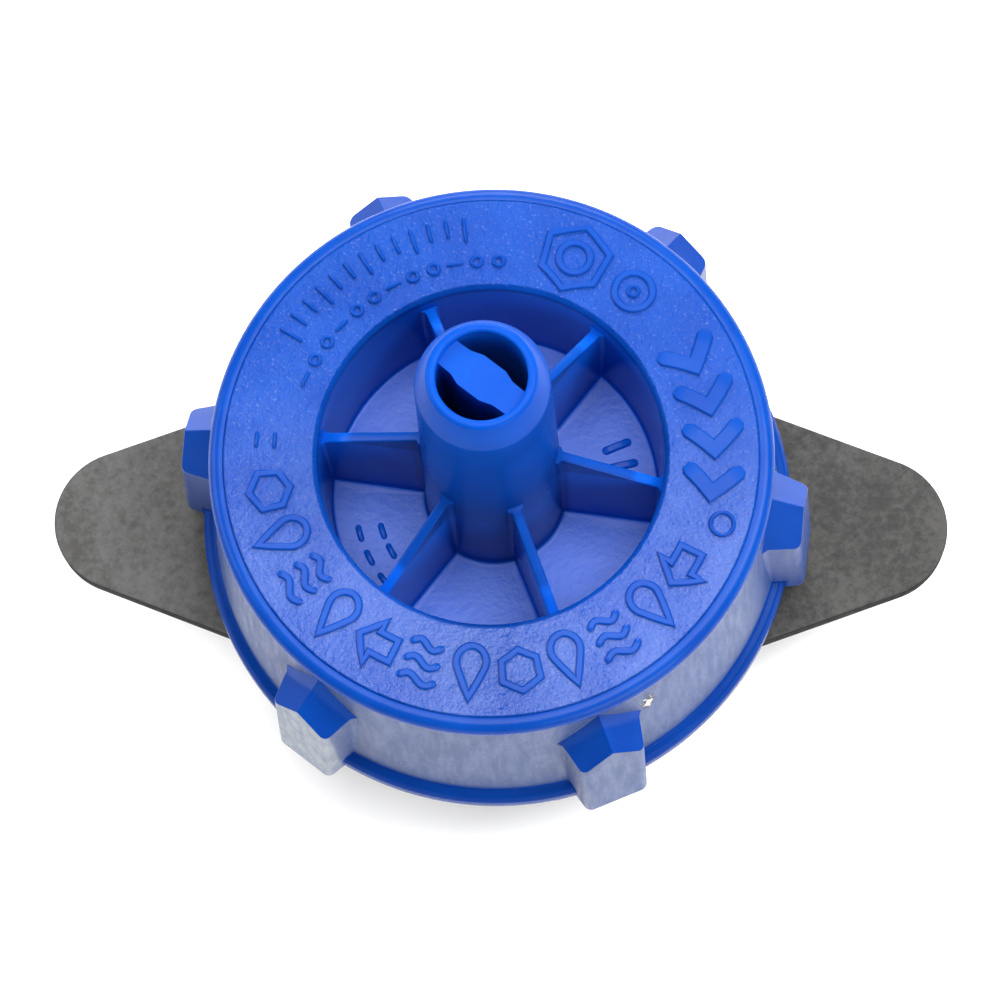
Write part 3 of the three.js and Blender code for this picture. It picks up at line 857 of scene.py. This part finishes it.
    # Whitish speckle on the face: partly its spark-eroded grain, partly painted glints.
    color = g.blend(g.times(on_face, g.ramp(grain, 0.6, 0.72), 0.16), color, scuff_and_sheen)
    color = g.blend(g.times(g.specks(1.9, 0.12, 0.12), 0.8), color, (0.01, 0.012, 0.03))
    away = g.math("ADD", g.distance(CHIP_PLACE, 0.4), g.ramp(g.noise(0.3, 3.0), 0.3, 0.7, -0.14, 0.14))
    chip = g.fall(away, 0.2, 0.26)
    color = g.blend(g.times(g.fall(away, 0.3, 0.37), 0.8), color, (0.02, 0.018, 0.03))
    color = g.blend(chip, color, (0.62, 0.6, 0.56))

    roughness = g.level(on_face, 0.26, g.ramp(grain, 0.3, 0.7, 0.3, 0.5))
    roughness = g.level(outside, roughness, g.ramp(streaks, 0.3, 0.7, 0.42, 0.6))
    roughness = g.level(on_floor, roughness, 0.5)
    gloss = g.level(g.times(on_lugs, g.fall(g.y, -8.0, -5.0)), 0.1, 0.02)
    gloss = g.level(g.math("MAXIMUM", on_flange, g.ramp(g.z, RIM_Z, RIM_Z + 2.0)), gloss, 0.04)
    gloss = g.level(on_face, gloss, g.ramp(front, 0.0, 1.0, 0.12, 0.38))
    gloss = g.level(outside, gloss, 0.45)
    gloss = g.level(on_floor, gloss, 0.6)
    g.feed(g.shader.inputs["Specular IOR Level"], gloss)
    relief = g.times(g.math("ADD", g.times(grain, 0.035), g.times(peel, 0.07)),
                     g.math("MAXIMUM", on_face, g.times(on_floor, 0.4)))
    normal = g.bump(relief, 1.0)
    normal = g.bump(g.times(outside, g.math("ADD", g.times(streaks, 0.5), grain)), 0.008, normal)
    normal = g.bump(g.noise(2.5, 1.0), 0.05, normal)
    normal = g.bump(chip, -0.08, normal)
    return g.finish(color, roughness, normal)


def base_plastic():
    """Charcoal polymer with a dust-mottled skin, lighter towards -X and darker towards +X by painted light
    and shade, and with edges darkened by painted shade.
    """
    g = Graph("base_plastic")
    mottle = g.noise(0.34, 6.0, 0.7)
    drift = g.noise(2.2, 4.0, 0.6, stretch=(1, 0.5, 1))
    grain = g.noise(0.12, 2.0, 0.6)
    dust = g.math("ADD", g.times(mottle, 0.55), g.times(drift, 0.45))
    edge = g.fall(g.upward, 0.3, 0.85)
    mottle_lit_side = g.blend(g.ramp(dust, 0.36, 0.62), (0.052, 0.051, 0.049), (0.09, 0.089, 0.087))
    mottle_shaded_side = g.blend(g.ramp(dust, 0.38, 0.6), (0.03, 0.03, 0.029), (0.056, 0.055, 0.053))
    # Painted light and shade: lighter towards -X, darker towards +X.
    color = g.blend(g.ramp(g.x, -10.0, 8.0), mottle_lit_side, mottle_shaded_side)
    # Painted shade: the faces that do not face up are darkened.
    color = g.blend(g.times(edge, 0.85), color, (0.01, 0.01, 0.01))
    color = g.blend(g.times(g.specks(2.7, 0.17, 0.07), 0.5), color, (0.32, 0.27, 0.19))
    roughness = g.ramp(mottle, 0.3, 0.7, 0.42, 0.62)
    g.feed(g.shader.inputs["Specular IOR Level"], g.level(edge, g.ramp(mottle, 0.3, 0.7, 0.07, 0.13), 0.01))
    normal = g.bump(g.math("ADD", g.times(mottle, 0.035), g.times(grain, 0.012)), 1.0)
    return g.finish(color, roughness, normal)


def disc_plastic():
    """Fine-grained grey polymer with faint flow marks."""
    g = Graph("disc_plastic")
    flow = g.noise(1.6, 5.0, 0.6, distortion=1.2)
    grain = g.noise(0.09, 2.0)
    color = g.blend(g.ramp(flow, 0.35, 0.7), (0.075, 0.078, 0.082), (0.11, 0.113, 0.117))
    return g.finish(color, g.ramp(flow, 0.3, 0.7, 0.36, 0.5), g.bump(grain, 0.01))


def strainer_plastic():
    """Off-white polymer, a little cloudy."""
    g = Graph("strainer_plastic")
    cloud = g.noise(0.8, 4.0, 0.6)
    color = g.blend(g.ramp(cloud, 0.35, 0.7), (0.62, 0.61, 0.56), (0.75, 0.74, 0.7))
    return g.finish(color, g.ramp(cloud, 0.3, 0.7, 0.35, 0.5), g.bump(g.noise(0.1, 2.0), 0.008))


def seal_rubber():
    """Black rubber with a matt bloom."""
    g = Graph("seal_rubber")
    bloom = g.noise(0.6, 5.0, 0.7)
    color = g.blend(g.ramp(bloom, 0.45, 0.75), (0.008, 0.008, 0.008), (0.03, 0.03, 0.031))
    return g.finish(color, g.ramp(bloom, 0.3, 0.7, 0.55, 0.75), g.bump(g.noise(0.08, 2.0), 0.01))


# ---------------------------------------------------------------- stage

def make_camera():
    """The photograph's view: nearly overhead, from the front and a little to the right, rolled."""
    azimuth, elevation, roll = math.radians(7.625), math.radians(74.0), math.radians(6.82)
    distance = 130.6  # from the rim's centre
    focal = 3.377  # in picture widths
    aim_x, aim_y = -0.0094, 0.0465  # where the rim's centre sits, in picture widths from the middle
    back = Vector((math.sin(azimuth) * math.cos(elevation), -math.cos(azimuth) * math.cos(elevation),
                   math.sin(elevation)))
    level = Vector((math.cos(azimuth), math.sin(azimuth), 0))
    upward = back.cross(level)
    right = math.cos(roll) * level - math.sin(roll) * upward
    up = math.sin(roll) * level + math.cos(roll) * upward
    out = (back + right * (aim_x / focal) + up * (aim_y / focal)).normalized()
    right = (right - out * right.dot(out)).normalized()
    up = out.cross(right)
    data = bpy.data.cameras.new("camera")
    data.lens = data.sensor_width * focal
    camera = bpy.data.objects.new("camera", data)
    turn = Matrix((right, up, out)).transposed().to_4x4()
    place = Vector((0, 0, RIM_Z)) + back * distance
    camera.matrix_world = Matrix.Translation(place * MM) @ turn
    data.clip_start = 0.005
    data.clip_end = 20
    bpy.context.scene.collection.objects.link(camera)
    bpy.context.scene.camera = camera


def soft_light(name, place, size, power):
    """A round soft light that faces the emitter."""
    data = bpy.data.lights.new(name, "AREA")
    data.shape = "DISK"
    data.size = size * MM
    data.energy = power
    light = bpy.data.objects.new(name, data)
    light.location = Vector(place) * MM
    target = Vector((0, 0, 5)) * MM
    light.rotation_euler = (light.location - target).to_track_quat("Z", "Y").to_euler()
    bpy.context.scene.collection.objects.link(light)


def make_floor():
    """Pale paper under the barb's tip; its far parts glow, so that it runs into the background."""
    half, level = 320, BARB_TIP_Z - 0.02
    floor = new_object("floor", [(-half, -half, level), (half, -half, level),
                                 (half, half, level), (-half, half, level)], [(0, 1, 2, 3)])
    floor.data.transform(Matrix.Scale(MM, 4))
    paper = Graph("floor_paper")
    tone = paper.blend(paper.noise(60, 3.0), (0.86, 0.86, 0.86), (0.9, 0.9, 0.9))
    paper.feed(paper.shader.inputs["Emission Strength"], paper.ramp(paper.radius, 130, 260, 0.1, 1.0))
    floor.data.materials.append(paper.finish(tone, 0.8, Emission_Color=(1, 1, 1, 1)))


def make_world():
    """A weak fill for the object, and a white background for the camera."""
    world = bpy.data.worlds.new("world")
    world.use_nodes = True
    tree = world.node_tree
    background = tree.nodes["Background"]
    seen = tree.nodes.new("ShaderNodeLightPath").outputs["Is Camera Ray"]
    strength = tree.nodes.new("ShaderNodeMapRange")
    strength.inputs["To Min"].default_value = 0.1
    strength.inputs["To Max"].default_value = 1.05
    tree.links.new(seen, strength.inputs["Value"])
    tree.links.new(strength.outputs[0], background.inputs["Strength"])
    background.inputs["Color"].default_value = (0.96, 0.98, 1.0, 1)
    bpy.context.scene.world = world


def make_lights():
    soft_light("overhead", (0, 0, 300), 200, 0.9)
    soft_light("back", (0, 280, 180), 200, 1.2)
    soft_light("high_right", (160, 40, 260), 160, 0.84)
    soft_light("front_right", (180, -240, 150), 200, 0.58)
    soft_light("left", (-280, 40, 160), 200, 0.54)
    bpy.context.scene.view_settings.view_transform = "Standard"


make_camera()
make_floor()
make_world()
make_lights()
make_cap(cap_plastic())
make_base(base_plastic())
make_disc(disc_plastic())
make_strainer(strainer_plastic())
make_seal(seal_rubber())
